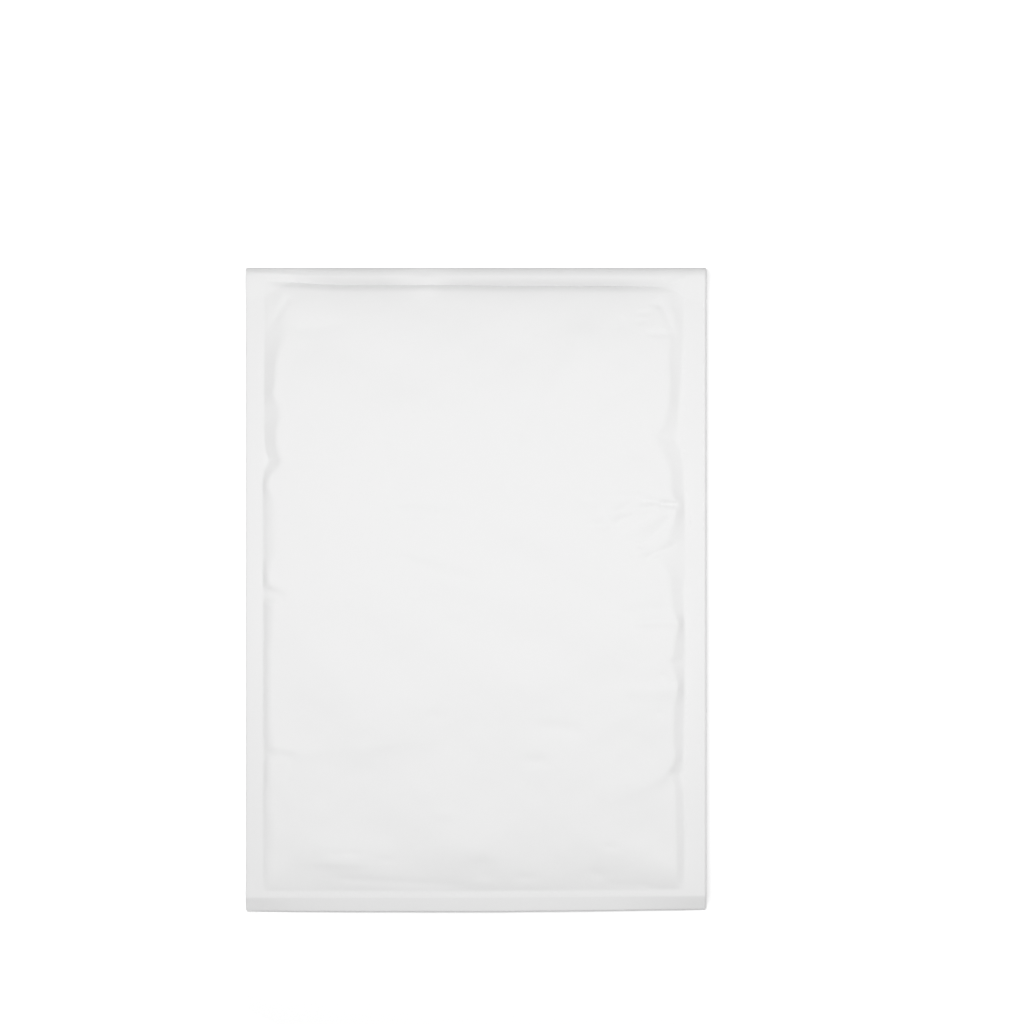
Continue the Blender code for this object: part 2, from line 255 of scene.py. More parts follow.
WRINKLES = [Wrinkle(*row) for row in (
    # The fan at the right crease
    (92.5, 48, 108.5, 46.2, -0.34, 1.9),
    (100, 46.9, 107.4, 46.2, -0.36, 1.2),
    (60, 49.6, 92, 49.2, -0.34, 4),
    (73.6, 39.8, 85.5, 49, 0.26, 2),
    (81, 41.5, 97, 46.3, 0.24, 2),
    (65, 35.4, 69.5, 35.8, 0.30, 2.6),
    (75.8, 36.6, 86.3, 42.6, -0.16, 1.8),
    (82.4, 29.7, 100.3, 41.1, 0.24, 2),
    (88.9, 24.2, 104.1, 37.8, -0.24, 2),
    (89.5, 20.4, 91.5, 20.6, 0.30, 2.6),
    (93.2, 18.2, 107, 24.2, -0.30, 1.8),
    # The top right corner
    (99.8, 156, 106.3, 141.2, -0.35, 2),
    (96, 154.9, 99, 154.2, -0.25, 1.5),
    (89, 149.4, 93.4, 150.6, -0.22, 1.3),
    (88.4, 145.6, 91.6, 146.2, -0.22, 1.3),
    (79, 146.6, 79.2, 143.4, -0.18, 1.3),
    (93.8, 139.2, 107.4, 138.6, -0.28, 1.2),
    # The streaks of the upper half
    (57.9, 137.4, 30.1, 77, 0.40, 7),
    (70, 104, 52, 82, -0.25, 8),
    (-46, 81, -41.5, 70, 0.22, 3),
    (-49.9, 77, -42.8, 50.9, -0.24, 2.5),
    (-40, 42.2, -15.6, 41.1, -0.22, 3.5),
    (-40, 16.6, -6.9, 6.8, -0.22, 3.5),
    (-93.4, 141.2, -77.1, 143.4, -0.22, 3.5),
    (-102.1, 157.5, -112.5, 142, -0.35, 2),
    # The left crease
    (-113.6, 1, -105, -4, -0.22, 1.5),
    (-111, 4.6, -102, 0.5, 0.12, 2),
    # The lower right
    (89.4, -17.4, 110, -17, 0.30, 2.5),
    (80, -12.2, 100, -10, -0.22, 3),
    (86, -54.7, 104, -54, 0.25, 4),
    (100.4, -46.5, 101.8, -47, -0.20, 1.2),
    (105, -50.1, 106.6, -50.6, -0.20, 1.2),
    (98.6, -66.6, 100, -66.9, -0.16, 1.3),
    (37, -74, 52.4, -75.6, -0.22, 3.5),
    (28.5, -92.8, 36, -92.4, -0.22, 3),
    (-23, -68, -21, -68.2, -0.22, 2.5),
    (-12, -17.7, -9, -17.5, -0.16, 3),
    (-20, -121, -16, -121.2, 0.18, 3),
    # The crumpled bottom of the padding
    (-72.7, -157, -10, -160.6, -0.40, 2.2),
    (4, -149, 5, -156, -0.50, 4),
    (0, -159.2, 6, -158.6, 0.35, 2.6),
    (24.6, -156.4, 27.6, -156.2, -0.38, 2.5),
    (64, -154.2, 67.2, -155, -0.30, 3),
    (73, -160.6, 92, -161.2, -0.38, 1.8),
    (93, -162, 108, -163.4, -0.32, 1.4),
    (-77, -142.4, -75.4, -143.2, -0.22, 1.5),
    (-67.4, -142.6, -65.8, -143, -0.22, 1.5),
    (-50, -145.8, -47.4, -146.4, -0.22, 1.5),
    (70.4, -138.8, 75.3, -139.6, -0.13, 1.5),
)]

FOLD_WRINKLES = [Wrinkle(*row) for row in (
    # Where the roll gives way to the padding, and the sharp crease beside the left end of the fold
    (-28.2, 168.5, -28.2, 164.5, 1.20, 3.4),
    (-121, 172, -104, 171.4, 0.22, 0.8),
    (-104, 171.4, -90, 170.1, 0.28, 0.8),
    (-90, 170.1, -71, 169.8, 0.22, 0.8),
    (-68, 169.6, -50, 170, 0.16, 0.8),
    (104, 166.4, 112, 168.8, 0.30, 1.4),
)]

STEPS = [Step(*row) for row in (
    (-37.9, -83, -104, -90, 1.00, 26, 60),
    (-100, -87.6, -113, -85.2, 1.10, 5, 10),
    (93.5, 77, 93.5, 91, 0.45, 9, 20),
    (112, -88, 104, -98.2, 0.60, 9, 24),
    (104, -98.2, 98, -103.1, 0.50, 9, 24),
    (98, -103.1, 80, -111.8, 0.45, 12, 26),
    (-65, -149, -84, -148.4, 0.80, 7, 18),
)]

# How much higher the wrinkles and steps stand than their rows say, and how far past its ends a step
# fades, as a share of its reach
WRINKLE_GAIN = 2.0
STEP_GAIN = 1.3
STEP_ENDS = 0.3

# The paper's smooth random relief: seed, shortest and longest wave, and height, in metres
RIPPLE_WAVES = 24
RIPPLES = ((7, 0.035, 0.090, 0.00030), (11, 0.012, 0.026, 0.00006))

# The camera, and the width of the picture at the level of the mailer's middle, in metres
CAMERA_HEIGHT = 1.6
CAMERA_PLACE = (0.01945, 0.0423)
PICTURE_WIDTH = 0.5557
PICTURE_LEVEL = 0.003
SENSOR_WIDTH = 36.0

# The soft box
LAMP_SIZE = (1.55, 0.33)
LAMP_PLACE = (0.05, 0.05, 0.74)
LAMP_WATTS = 6.10

# The floor: how much it glows for the camera under the mailer's shadow, and how much more all round
# from a distance on, and the painted light beside the mailer's left and top sides that hides its shadow
# there
FLOOR_REACH = 4.0
FLOOR_LEVEL = -0.00003
FLOOR_TONE = (0.80, 0.80, 0.80, 1)
FLOOR_GLOW = 0.32
FAR_GLOW = 0.6
FAR_FROM = 0.26
PAINTED_LIGHT_BESIDE_EDGES = 0.3
PAINTED_LIGHT_LEFT_OF = -0.1245
PAINTED_LIGHT_BEYOND = 0.1745

# The even light from all round, as a share of the white that the camera sees behind the floor
SKY = 0.3


def level_step(t):
    """Smooth step: 0 below t = 0, 1 above t = 1, level at both ends."""
    t = np.clip(t, 0, 1)
    return t * t * (3 - 2 * t)


def cushion(t):
    """Rise of padding beside a seam: steep at the seam, level where t reaches 1."""
    t = np.clip(t, 0, 1)
    return 1 - (1 - t) ** 2


def shoulder(t, run, foot_ease, rim_ease):
    """An even slope from 0 at t = 0 to 1 at t = run, its foot and rim rounded over those shares of it."""
    t = t / run
    slope = 1 / (1 - (foot_ease + rim_ease) / 2)
    foot = np.clip(t, 0, foot_ease)
    middle = np.clip(t - foot_ease, 0, 1 - foot_ease - rim_ease)
    rim = np.clip(t - 1 + rim_ease, 0, rim_ease)
    return slope * (foot**2 / (2 * foot_ease) + middle + rim - rim**2 / (2 * rim_ease))


def read_table(table, places):
    """A table of pairs in millimetres, read at places in metres, with straight lines between its rows."""
    at, values = np.array(table, float).T
    return np.interp(places / MM, at, values) * MM


def beside_line(x, y, line):
    """Where points are beside a straight line: how far from its nearest point, how far to its left, and
    how far past its ends.
    """
    run = np.array((line.x2 - line.x1, line.y2 - line.y1)) * MM
    length = np.hypot(*run)
    from_x = x - line.x1 * MM
    from_y = y - line.y1 * MM
    share = (from_x * run[0] + from_y * run[1]) / (run @ run)
    near = np.clip(share, 0, 1)
    away = np.hypot(from_x - near * run[0], from_y - near * run[1])
    left = (from_y * run[0] - from_x * run[1]) / length
    return away, left, np.clip(np.abs(share - 0.5) - 0.5, 0, None) * length


def wrinkles(x, y, lines):
    """Sum of the ridges and grooves: each is a bell across its line, with rounded ends."""
    total = np.zeros(np.broadcast(x, y).shape)
    for line in lines:
        away = beside_line(x, y, line)[0]
        total += line.height * MM * np.exp(-((away / (line.width * MM)) ** 2))
    return total


def drops(x, y, lines):
    """Sum of the steps: each falls as a cushion on the left of its line and comes back over its reach."""
    total = np.zeros(np.broadcast(x, y).shape)
    for line in lines:
        _, left, past_ends = beside_line(x, y, line)
        fall = cushion(left / (line.width * MM)) * np.exp(-np.clip(left, 0, None) / (line.reach * MM))
        total -= line.drop * MM * fall * np.exp(-((past_ends / (STEP_ENDS * line.reach * MM)) ** 2))
    return total


def ripples(x, y, seed, shortest, longest, height):
    """Smooth random relief: a sum of cosine waves, each with its own heading, length and shift."""
    draw = np.random.default_rng(seed)
    total = np.zeros(np.broadcast(x, y).shape)
    for _ in range(RIPPLE_WAVES):
        heading = draw.uniform(0, math.pi)
        length = draw.uniform(shortest, longest)
        shift = draw.uniform(0, 2 * math.pi)
        travel = x * math.cos(heading) + y * math.sin(heading)
        total += np.cos(2 * math.pi * travel / length + shift)
    return total * height / math.sqrt(RIPPLE_WAVES / 2)


class SheetShape:
    """The folded sheet's heights, as functions of the place across (x) and along (y) the mailer."""

    def __init__(self, sizes):
        self.paper = sizes.paper
        self.half = sizes.width / 2
        self.end = sizes.length / 2
        self.left_seam = sizes.left_seam
        self.right_seam = sizes.right_seam
        self.flap_depth = sizes.flap_depth
        self.seal = FLANGE + 2 * SEAL_GAP + self.paper
        self.flap_stack = self.paper + ADHESIVE + LINER + TAPE + 3 * FILM_GAP + REST_GAP
        self.top_plane = self.paper / 2 + self.flap_stack + self.seal / 2
        self.crown = sizes.thickness - self.paper / 2
        self.top_y = self.end - self.paper / 2
        self.bottom_y = -self.top_y
        self.mouth_y = self.end - MOUTH_STEP
        self.flap_radius = self.top_plane + self.seal / 2 - self.paper / 2
        self.bottom_radius = self.seal / 2
        self.bottom_bend = self.bottom_radius / 4
        self.bend_y = self.bottom_y + self.bottom_bend

    def ground(self, y):
        """Lowest the back panel can lie: on the table, or on the flap beyond the ramp."""
        ramp_foot = self.end - self.flap_depth - FLAP_RAMP
        return self.paper / 2 + self.flap_stack * level_step((y - ramp_foot) / FLAP_RAMP)

    def seam_plane(self, x, y):
        """Middle of the seams: its height across, less a quarter ellipse at the flap fold, less an even
        fall down the bottom strip and to the left, with the bent edges and the roll, above the ground.
        """
        lift = read_table(SEAM_LIFT, x)
        to_fold = np.clip(1 - (self.top_y - y) / read_table(FOLD_REACH, x), 0, 1)
        droop = 1 - np.clip((y + self.end) / BOTTOM_STRIP, 0, 1)
        plane = lift - (lift - self.top_plane) * (1 - np.sqrt(1 - to_fold**2))
        extra = read_table(BOTTOM_LIFT, x) * (1 - level_step((y + self.end - BOTTOM_BAND) / BOTTOM_FADE))
        plane = plane + extra - (lift + extra - read_table(BOTTOM_PLANE, x)) * droop
        outward = np.clip(1 - (x + self.half) / self.left_seam, 0, 1)
        lean = read_table(LEFT_LEAN, y + self.end) * outward
        plane = plane - lean - self.edge_curl(x, y) + read_table(SEAM_ROLL, x) * self.roll_share(x, y)
        return np.maximum(plane, self.ground(y) + self.seal / 2)

    def edge_curl(self, x, y):
        """How far the sides and the bottom fold bend down: a parabola over each one's own reach."""
        along = y + self.end
        edges = (
            (LEFT_BEND, LEFT_CURL, x + self.half),
            (read_table(RIGHT_BEND, along), read_table(RIGHT_CURL, along), self.half - x),
            (BOTTOM_BEND, BOTTOM_CURL, y - self.bottom_y),
        )
        curls = [bend * np.clip(1 - away / reach, 0, 1) ** 2 for bend, reach, away in edges]
        return np.maximum(np.maximum(curls[0], curls[1]), curls[2])

    def back_padding(self, x, y):
        """Share of the padding's height at the back: the product of its rises from the four seams."""
        sides = cushion((x + self.half - self.left_seam) / SIDE_RISE)
        sides = sides * cushion((self.half - x - self.right_seam) / SIDE_RISE)
        top = cushion((self.end - TOP_BAND - y) / SIDE_RISE)
        return sides * top * cushion((y + self.end - BOTTOM_BAND) / BOTTOM_RISE)

    def front_padding(self, x, y):
        """Share of the padding's height at the front: the product of its rises from the four seams.

        A side rises on a shoulder from its foot to its rim, and by a small share over a long reach;
        the left one is crisper in the upper part. The top rises in cushions of three reaches, and the
        bottom as 1 less a power of what is left of its reach.
        """
        along = y + self.end
        left_foot = read_table(LEFT_FOOT, along)
        right_foot = read_table(RIGHT_FOOT, along) - RIGHT_FOOT_OUT
        from_left = x + self.half - left_foot
        from_right = self.half - x - right_foot
        left = from_left / (read_table(LEFT_RIM, along) - left_foot)
        right = from_right / (read_table(RIGHT_RIM, along) - right_foot + RIGHT_EASE)
        lower = 1 - level_step((along - SOFT_BELOW) / SOFT_FADE)
        crisp = shoulder(left, *LEFT_CRISP)
        soft = (1 - LEFT_FAR_SHARE) * shoulder(left, *LEFT_SOFT)
        near_left = crisp + (soft - crisp) * lower
        far_left = LEFT_FAR_SHARE * lower * cushion(from_left / PADDING_REACH)
        near_right = (1 - RIGHT_FAR_SHARE) * shoulder(right, *RIGHT_SLOPE)
        far_right = RIGHT_FAR_SHARE * cushion(from_right / PADDING_REACH)
        sides = (near_left + far_left) * (near_right + far_right)
        from_roll = self.top_y - read_table(PADDING_TOP, x) - y
        top = sum(share * cushion(from_roll / reach) for share, reach in TOP_RISES)
        from_bottom = np.clip((along - BOTTOM_BAND) / read_table(BOTTOM_REACH, x), 0, 1)
        return sides * top * (1 - (1 - from_bottom) ** BOTTOM_POWER)

    def roll_share(self, x, y):
        """Profile of the soft roll at the flap fold: rounded up to its crest, then ever steeper down."""
        from_fold = self.top_y - y
        crest = read_table(ROLL_CREST, x)
        end = read_table(ROLL_END, x)
        rise = 1 - np.clip(1 - from_fold / crest, 0, 1) ** 2
        fall = 1 - np.clip((from_fold - crest) / (end - crest), 0, 1) ** ROLL_POWER
        return rise * fall

    def painted_crease_shade(self, x, y):
        """Painted shade in the crease, as a share taken off the paper's colour: it dies away up the roll and
        down the padding.
        """
        from_crease = self.top_y - y - read_table(PADDING_TOP, x)
        down = np.maximum(from_crease, 0)
        above = np.exp(np.minimum(from_crease, 0) / CREASE_ABOVE)
        near = (1 - CREASE_FAR_SHARE) * np.exp(-down / CREASE_BELOW)
        far = CREASE_FAR_SHARE * np.exp(-down / CREASE_FAR)
        return read_table(CREASE_PAINTED_SHADE, x) * above * (near + far)

    def front_height(self, x, y):
        """Height of the front panel: from the seam, the padding's share of the way up to the wrinkled
        crown, plus the roll and wrinkles at the flap fold.
        """
        foot = self.seam_plane(x, y) + self.seal / 2
        relief = WRINKLE_GAIN * wrinkles(x, y, WRINKLES) + STEP_GAIN * drops(x, y, STEPS)
        for ripple in RIPPLES:
            relief = relief + ripples(x, y, *ripple)
        rise = self.front_padding(x, y)
        proud = read_table(ROLL_HEIGHT, x) * self.roll_share(x, y) + wrinkles(x, y, FOLD_WRINKLES)
        return foot + rise * (self.crown - RELIEF_ROOM + relief - foot) + proud

    def back_height(self, x, y):
        """Height of the back panel: flat on the ground under the padding, up to the seams round it."""
        rise = self.back_padding(x, y)
        ground = self.ground(y)
        return ground + (1 - rise) * (self.seam_plane(x, y) - self.seal / 2 - ground)

    def squared(self, points):
        """The same points with the bottom fold's slight skew and the sheet's rounded corners: there the
        sides are drawn in by a circle's depth, less and less inward.
        """
        x, y, z = np.moveaxis(points, -1, 0)
        along = y + self.end
        from_fold = self.end - y
        y = y + read_table(BOTTOM_SKEW, x) * (1 - level_step(along / SKEW_REACH))
        for radius, from_end in ((BOTTOM_CORNER, along), (TOP_CORNER, from_fold)):
            inset = np.clip(radius - np.clip(from_end, 0, None) - CORNER_START * radius, 0, None)
            drawn_in = radius - np.sqrt(radius**2 - inset**2)
            spread = radius * CORNER_SPREAD
            outward = np.clip((np.abs(x) - self.half + spread) / spread, 0, 1)
            x = x - np.sign(x) * drawn_in * outward
        return np.stack((x, y, z), axis=-1)


def stations(start, *stretches):
    """Stations from start on, even in each stretch, which gives its end and about how far apart they are."""
    places = [np.array((start,))]
    for end, pitch in stretches:
        places.append(np.linspace(start, end, max(2, round(abs(end - start) / pitch) + 1))[1:])
        start = end
    return np.concatenate(places)


def column_stations(shape):
    """Stations across the sheet: close together over the side creases and the wrinkled right part."""
    left = -shape.half
    right = shape.half
    return stations(
        left,
        (left + LEFT_CURL, 0.00014), (left + 0.0085, 0.0020), (left + 0.024, 0.0008),
        (left + 0.030, 0.0015), (right - 0.062, 0.0039), (right - 0.030, 0.0016),
        (right - 0.0110, 0.0009), (right - RIGHT_ROWS, 0.0024), (right, 0.0003),
    )


def front_stations(shape):
    """Stations down the front, from the flap fold to the bottom fold: closest round the flap fold, and
    closer over the fan of wrinkles and at the bottom seam than between them.
    """
    turn = np.linspace(0, math.pi / 2, 11)
    below_round = stations(
        shape.top_y - FOLD_ROUND,
        (shape.end - 0.0145, 0.00050), (shape.end - 0.030, 0.0011),
        (0.060, 0.00155), (0.012, 0.00100),
        (-shape.end + 0.035, 0.00155), (-shape.end + 0.013, 0.0012),
        (-shape.end + 0.0075, 0.0008), (shape.bottom_y + BOTTOM_CURL, 0.0012),
        (shape.bend_y, 0.0002),
    )
    return np.concatenate((shape.top_y - FOLD_ROUND * (1 - np.cos(turn)), below_round[1:]))


def back_stations(shape):
    """Stations up the back, from the bottom fold to the cut edge at the mouth."""
    flap_tip = shape.end - shape.flap_depth
    tape_near = shape.mouth_y - TAPE_FROM_MOUTH
    return stations(
        shape.bend_y,
        (shape.bottom_y + BOTTOM_CURL, 0.0002), (-shape.end + BOTTOM_STRIP, 0.0025),
        (-shape.end + BOTTOM_BAND + BOTTOM_RISE, 0.0022), (flap_tip - FLAP_RAMP, 0.0080),
        (flap_tip, 0.0018), (tape_near - TAPE_WIDTH, 0.0025),
        (tape_near, 0.0015), (shape.mouth_y, 0.0012),
    )


def half_turn(centre_y, centre_z, radius, start, end):
    """Y and Z of the inner points of an arc between two angles in degrees, one row each."""
    angles = np.radians(np.linspace(start, end, 9))[1:-1, None]
    return centre_y + radius * np.cos(angles), centre_z + radius * np.sin(angles)


def panel(x, y, z, number):
    """Rows of points, and for each its place across and along the mailer and its panel's number: 0 for
    the flap, 1 for the front and 2 for the back.
    """
    points = np.stack(np.broadcast_arrays(x, y, z), axis=-1)
    web = points.copy()
    web[..., 2] = number
    return points, web


def sheet_grid(shape):
    """The sheet's middle surface in one grid: flat flap with cut corners, half turn of the flap fold,
    front at its height, half ellipse of the bottom fold, and back at its height.
    """
    columns = column_stations(shape)[None, :]
    flap_tip = shape.end - shape.flap_depth
    flap_end = shape.top_y - shape.flap_radius
    flap_rows = stations(flap_tip, (flap_tip + FLAP_TAPER, 0.0034), (flap_end, 0.0065))[:, None]
    cut = FLAP_CORNER * (1 - np.clip((flap_rows - flap_tip) / FLAP_TAPER, 0, 1))
    flap = panel(columns * (shape.half - cut) / shape.half, flap_rows, shape.paper / 2, 0)

    turn = half_turn(flap_end, shape.paper / 2 + shape.flap_radius, shape.flap_radius, -90, 0)
    flap_fold = panel(columns, *turn, 0)

    front_rows = front_stations(shape)[:, None]
    front = panel(columns, front_rows, shape.front_height(columns, front_rows), 1)

    turn_y, turn_z = half_turn(0, 0, 1, 90, 270)
    turn_z = shape.seam_plane(columns, np.array(shape.bend_y)) + turn_z * shape.bottom_radius
    bottom_fold = panel(columns, shape.bend_y + turn_y * shape.bottom_bend, turn_z, 1)

    back_rows = back_stations(shape)[:, None]
    back = panel(columns, back_rows, shape.back_height(columns, back_rows), 2)
    points, web = zip(flap, flap_fold, front, bottom_fold, back)
    web = np.concatenate(web)
    # Painted shade for the crease at the flap fold, on the front panel only
    shade = (web[..., 2] == 1) * shape.painted_crease_shade(web[..., 0], web[..., 1])
    return shape.squared(np.concatenate(points)), web, shade


def grid_faces(rows, columns):
    """Quads of a grid of points numbered row by row."""
    corner = np.arange(rows - 1)[:, None] * columns + np.arange(columns - 1)[None, :]
    quads = np.stack((corner, corner + columns, corner + columns + 1, corner + 1), axis=-1)
    return quads.reshape(-1, 4)


def keep_rim_sharp(mesh):
    """Marks the open edges of a sheet sharp, so that a wall's rim isn't shaded into its faces."""
    used = np.zeros(len(mesh.loops), np.int32)
    mesh.loops.foreach_get("edge_index", used)
    open_edges = np.bincount(used, minlength=len(mesh.edges)) == 1
    sharp = mesh.attributes.get("sharp_edge") or mesh.attributes.new("sharp_edge", "BOOLEAN", "EDGE")
    values = np.zeros(len(mesh.edges), bool)
    sharp.data.foreach_get("value", values)
    sharp.data.foreach_set("value", values | open_edges)


def add_object(name, data):
    """A new object in the scene."""
    made = bpy.data.objects.new(name, data)
    bpy.context.scene.collection.objects.link(made)
    return made


def add_mesh(name, points, faces, material, sharp_angle=40):
    """A mesh object at the origin, with smooth faces and one material."""
    mesh = bpy.data.meshes.new(name)
    mesh.from_pydata(points.reshape(-1, 3), [], faces)
    mesh.materials.append(material)
    mesh.shade_smooth()
    mesh.set_sharp_from_angle(angle=math.radians(sharp_angle))
    keep_rim_sharp(mesh)
    return add_object(name, mesh)


def add_sheet(name, grid, thickness, material):
    """A sheet of even thickness about a grid of middle-surface points."""
    made = add_mesh(name, grid, grid_faces(*grid.shape[:2]), material)
    wall = made.modifiers.new("sheet thickness", "SOLIDIFY")
    wall.thickness = thickness
    wall.offset = 0
    wall.use_quality_normals = True
    return made


def stand_for(piece, slot, *nodes):
    """Makes a piece ride on the object and stand for its CAD nodes. Its slot is not used."""
    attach(piece, ROOT)
    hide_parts(*nodes)


class Socket:
    """An output of a shader node. Arithmetic on it adds Math nodes."""

    def __init__(self, output):
        self.output = output

    def math(self, operation, first, second):
        node = self.output.id_data.nodes.new("ShaderNodeMath")
        node.operation = operation
        plug(node.inputs[0], first)
        plug(node.inputs[1], second)
        return Socket(node.outputs[0])

    def __add__(self, other):
        return self.math("ADD", self, other)

    __radd__ = __add__

    def __sub__(self, other):
        return self.math("SUBTRACT", self, other)

    def __rsub__(self, other):
        return self.math("SUBTRACT", other, self)

    def __mul__(self, other):
        return self.math("MULTIPLY", self, other)

    __rmul__ = __mul__

    def __gt__(self, other):
        return self.math("GREATER_THAN", self, other)

    def __lt__(self, other):
        return self.math("LESS_THAN", self, other)

    def larger(self, other):
        return self.math("MAXIMUM", self, other)


def plug(socket, value):
    """Links an output to a socket, or sets the socket to a plain value."""
    if isinstance(value, Socket):
        socket.id_data.links.new(value.output, socket)
    else:
        socket.default_value = value


class Finish:
    """A node tree being filled: node() adds any node, sets it and fills its sockets."""

    def __init__(self, tree):
        self.tree = tree
        self.tree.nodes.clear()

    def node(self, kind, settings, sockets, output=0):
        made = self.tree.nodes.new(kind)
        for name, value in settings.items():
            setattr(made, name, value)
        for name, value in sockets.items():
            plug(made.inputs[name], value)
        return Socket(made.outputs[output])

    def noise(self, place, scale, detail, roughness=0.5):
        settings = {"noise_dimensions": "3D"}
        sockets = {"Vector": place, "Scale": scale, "Detail": detail, "Roughness": roughness}
        return self.node("ShaderNodeTexNoise", settings, sockets)

    def object_place(self):
        return self.node("ShaderNodeTexCoord", {}, {}, "Object")

    def part(self, vector, axis):
        return self.node("ShaderNodeSeparateXYZ", {}, {"Vector": vector}, axis)

    def ray(self, kind):
        return self.node("ShaderNodeLightPath", {}, {}, kind)

    def tinted(self, colour, share):
        """A colour times a number that varies over the surface."""
        sockets = {"Vector": tuple(colour)[:3], "Scale": share}
        return self.node("ShaderNodeVectorMath", {"operation": "SCALE"}, sockets)

    def mixed(self, share, first, second):
        """Two colours mixed by a share that varies over the surface."""
        settings = {"data_type": "RGBA"}
        return self.node("ShaderNodeMix", settings, {0: share, 6: first, 7: second}, 2)

    def bump(self, height, distance):
        sockets = {"Height": height, "Distance": distance, "Strength": 1.0}
        return self.node("ShaderNodeBump", {}, sockets)

    def surface(self, shader, kind="ShaderNodeOutputMaterial"):
        plug(self.tree.nodes.new(kind).inputs["Surface"], shader)

    def coat(self, sockets):
        """A principled shader with these values as the surface."""
        self.surface(self.node("ShaderNodeBsdfPrincipled", {}, sockets))


def new_material(name):
    """An empty material and the finish that fills its nodes."""
    material = bpy.data.materials.new(name)
    material.use_nodes = True
    return material, Finish(material.node_tree)


def paper_finish(sizes, colours):
    """White kraft paper: cloudy formation, fine fibres, painted shade on the bottom strip and in the crease
    at the flap fold, and a dark printed mark.
    """
    material, finish = new_material("white kraft paper")
    place = finish.object_place()
    cloud = finish.noise(place, 160.0, 3.0)
    fibre = finish.noise(place, 1500.0, 2.0, 0.6)
    crinkle = finish.noise(place, 420.0, 2.0, 0.45)
    web = finish.node("ShaderNodeAttribute", {"attribute_name": "web"}, {}, "Vector")
    across = finish.part(web, "X")
    along = finish.part(web, "Y")
    number = finish.part(web, "Z")
    share = 0.990 + 0.012 * cloud + 0.008 * fibre
    # Painted shade in the crease at the flap fold, taken off the paper's colour
    crease = finish.node("ShaderNodeAttribute", {"attribute_name": "crease"}, {}, "Fac")
    # Painted shade that greys the bottom strip
    strip = (along < BOTTOM_STRIP - sizes.length / 2) * BOTTOM_STRIP_PAINTED_SHADE
    paper = finish.tinted(colours.paper, share - strip - crease)
    in_corner = (across < MARK_WIDTH - sizes.width / 2) * (along < MARK_LENGTH - sizes.length / 2)
    mark = in_corner * (number > 1.5)
    colour = finish.mixed(mark, paper, tuple(colours.mark) + (1.0,))
    relief = 0.55 * fibre + 1.6 * crinkle
    finish.coat({
        "Base Color": colour,
        "Roughness": 0.46 + 0.14 * cloud,
        "Normal": finish.bump(relief, 0.000018),
        "Specular IOR Level": 0.3,
        "IOR": 1.45,
    })
    return material


def film_finish(colours):
    """Clear bubble film: glossy and see-through, with a haze that varies."""
    material, finish = new_material("bubble film")
    place = finish.object_place()
    haze = finish.noise(place, 220.0, 3.0)
    creases = finish.noise(place, 900.0, 2.0, 0.5)
    finish.coat({
        "Base Color": finish.tinted(colours.film, 0.97 + 0.05 * haze),
        "Roughness": 0.14 + 0.16 * haze,
        "Alpha": 0.42 + 0.20 * haze,
        "Normal": finish.bump(creases, 0.00002),
        "IOR": 1.5,
    })
    return material


def strip_finish(name, colour, roughness, alpha, streak_scale, streak_depth):
    """A thin strip of the closure: its colour clouded, its gloss and surface in streaks along it."""
    material, finish = new_material(name)
    place = finish.object_place()
    sockets = {"Vector": place, "Scale": (0.15, 1.0, 1.0)}
    drawn = finish.node("ShaderNodeMapping", {}, sockets)
    streak = finish.noise(drawn, streak_scale, 3.0)
    cloud = finish.noise(place, 240.0, 2.0)
    values = {
        "Base Color": finish.tinted(colour, 0.97 + 0.05 * cloud),
        "Roughness": roughness + 0.12 * streak,
        "Normal": finish.bump(streak, streak_depth),
        "IOR": 1.47,
    }
    if alpha < 1:
        values["Alpha"] = alpha + 0.1 * cloud
    finish.coat(values)
    return material


class MailerSizes(bpy.types.PropertyGroup):
    """The sizes of the mailer that a user would change."""

    width: FloatProperty(
        name="Width", description="Outside width", unit="LENGTH",
        default=SHEET_BOX[1].x - SHEET_BOX[0].x,
    )
    length: FloatProperty(
        name="Length", description="Outside length from fold to fold", unit="LENGTH",
        default=SHEET_BOX[1].y - SHEET_BOX[0].y,
    )
    thickness: FloatProperty(
        name="Thickness", description="Height of the padding's crown", unit="LENGTH", default=0.0074,
    )
    paper: FloatProperty(
        name="Paper", description="Thickness of the paper", unit="LENGTH", default=0.00013,
    )
    left_seam: FloatProperty(
        name="Left seam", description="Width of the flat left seam", unit="LENGTH", default=0.0094,
    )
    right_seam: FloatProperty(
        name="Right seam", description="Width of the flat right seam", unit="LENGTH", default=0.0128,
    )
    flap_depth: FloatProperty(
        name="Flap", description="Depth of the folded flap", unit="LENGTH", default=0.037,
    )
    bubble: FloatProperty(
        name="Bubble", description="Diameter of one air bubble", unit="LENGTH", default=0.0098,
    )
    bubble_pitch: FloatProperty(
        name="Bubble pitch", description="Distance between bubbles", unit="LENGTH", default=0.0114,
    )


class MailerColours(bpy.types.PropertyGroup):
    """The colours of the mailer's papers and films."""

    paper: FloatVectorProperty(
        name="Paper", description="Outside of the sheet", subtype="COLOR", default=(0.875, 0.875, 0.875),
    )
    mark: FloatVectorProperty(
        name="Mark", description="Cutting mark on the back", subtype="COLOR", default=(0.03, 0.03, 0.035),
    )
    film: FloatVectorProperty(
        name="Film", description="Bubble film", subtype="COLOR", default=(0.88, 0.90, 0.91),
    )
    glue: FloatVectorProperty(
        name="Glue", description="Glue band on the flap", subtype="COLOR", default=(0.86, 0.82, 0.70),
    )
    liner: FloatVectorProperty(
        name="Liner", description="Peel-off strip", subtype="COLOR", default=(0.84, 0.86, 0.88),
    )
    tape: FloatVectorProperty(
        name="Tape", description="Clear strip at the mouth", subtype="COLOR", default=(0.93, 0.94, 0.95),
    )


